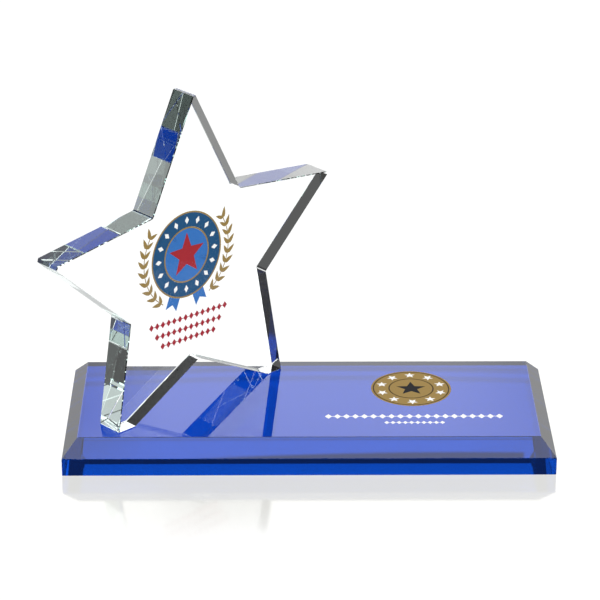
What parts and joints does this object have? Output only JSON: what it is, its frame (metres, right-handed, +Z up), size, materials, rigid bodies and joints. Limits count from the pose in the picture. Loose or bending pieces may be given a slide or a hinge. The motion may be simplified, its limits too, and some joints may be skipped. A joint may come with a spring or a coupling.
{
  "type": "star trophy",
  "caption": "Clear crystal five-pointed star standing on two of its points, bonded to a long blue crystal base with a wide bevel; printed with a plain round seal, laurels and a gold medallion.",
  "frame": {"origin": "centre of the base's flat underside, on the surface that the trophy stands on", "axes": "+X to the right along the base's length, +Y to the back, +Z up; the print on the base reads from -Y and the star's printed face looks towards -Y and +X"},
  "size_m": [0.3097, 0.1608, 0.2229],
  "materials": {
    "clear_crystal": "polished optical crystal, clear",
    "blue_crystal": "polished optical crystal, cobalt blue",
    "clear_adhesive": "cured clear adhesive",
    "red_ink": "printed ink, satin",
    "navy_ink": "printed ink, satin",
    "blue_ink": "printed ink, satin",
    "white_ink": "printed ink, satin",
    "gold_ink": "printed ink, satin",
    "brown_ink": "printed ink, satin",
    "black_ink": "printed ink, satin"
  },
  "bodies": {
    "root": {"star_block": "clear_crystal", "base_block": "blue_crystal", "left_foot_bond": "clear_adhesive", "right_foot_bond": "clear_adhesive", "seal_ring_navy": "navy_ink", "seal_marks": "white_ink", "seal_rules_gold": "gold_ink", "seal_field_blue": "blue_ink", "seal_star_red": "red_ink", "ribbon_tails_blue": "blue_ink", "laurels_gold": "gold_ink", "caption_red": "red_ink", "medallion_disc": "gold_ink", "medallion_rules": "brown_ink", "medallion_stars": "white_ink", "medallion_centre_star": "black_ink", "base_title_marks": "white_ink", "base_subtitle_marks": "white_ink"}
  },
  "joints": []
}
